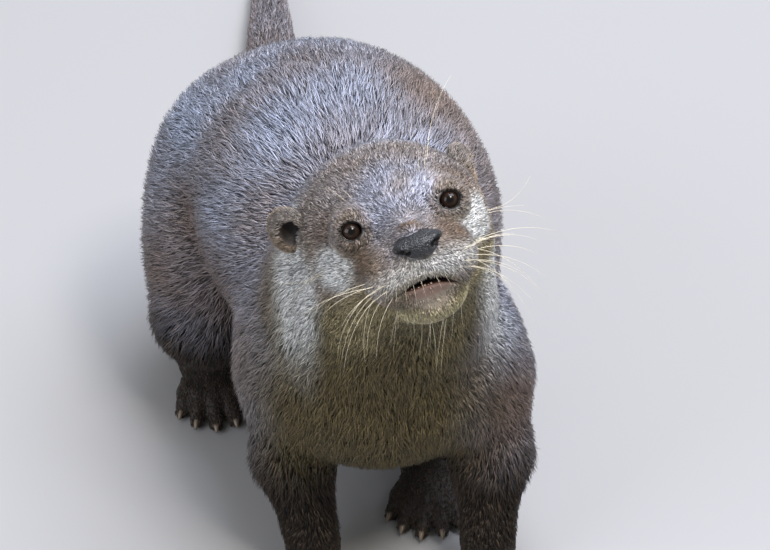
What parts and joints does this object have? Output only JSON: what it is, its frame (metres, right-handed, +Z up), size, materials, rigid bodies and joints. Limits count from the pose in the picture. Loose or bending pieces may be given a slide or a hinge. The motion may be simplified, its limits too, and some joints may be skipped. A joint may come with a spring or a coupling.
{
  "type": "otter",
  "caption": "Life-size small-clawed otter, standing hunched on its short legs with its head raised and its thick tail lying behind on the floor.",
  "frame": {"origin": "on the floor, midway along and across the whole otter from nose to tail tip", "axes": "-Y the way the otter faces, +X its left side, +Z up"},
  "size_m": [0.1714, 0.5432, 0.2135],
  "materials": {
    "coat": "short dense grey-brown fur with a soft sheen",
    "pale_coat": "pale cream-grey fur",
    "nose_pad": "moist, finely pebbled",
    "eye": "wet gloss",
    "foot": "thinly furred skin"
  },
  "bodies": {
    "root": {"trunk": "coat", "neck": "pale_coat", "head": "coat", "lower_jaw": "pale_coat", "nose": "nose_pad", "eye_left": "eye", "eye_right": "eye", "ear_left": "coat", "ear_right": "coat", "tail": "coat", "fore_left_leg": "coat", "fore_right_leg": "coat", "hind_left_leg": "coat", "hind_right_leg": "coat", "fore_left_foot": "foot", "fore_right_foot": "foot", "hind_left_foot": "foot", "hind_right_foot": "foot"}
  },
  "joints": []
}
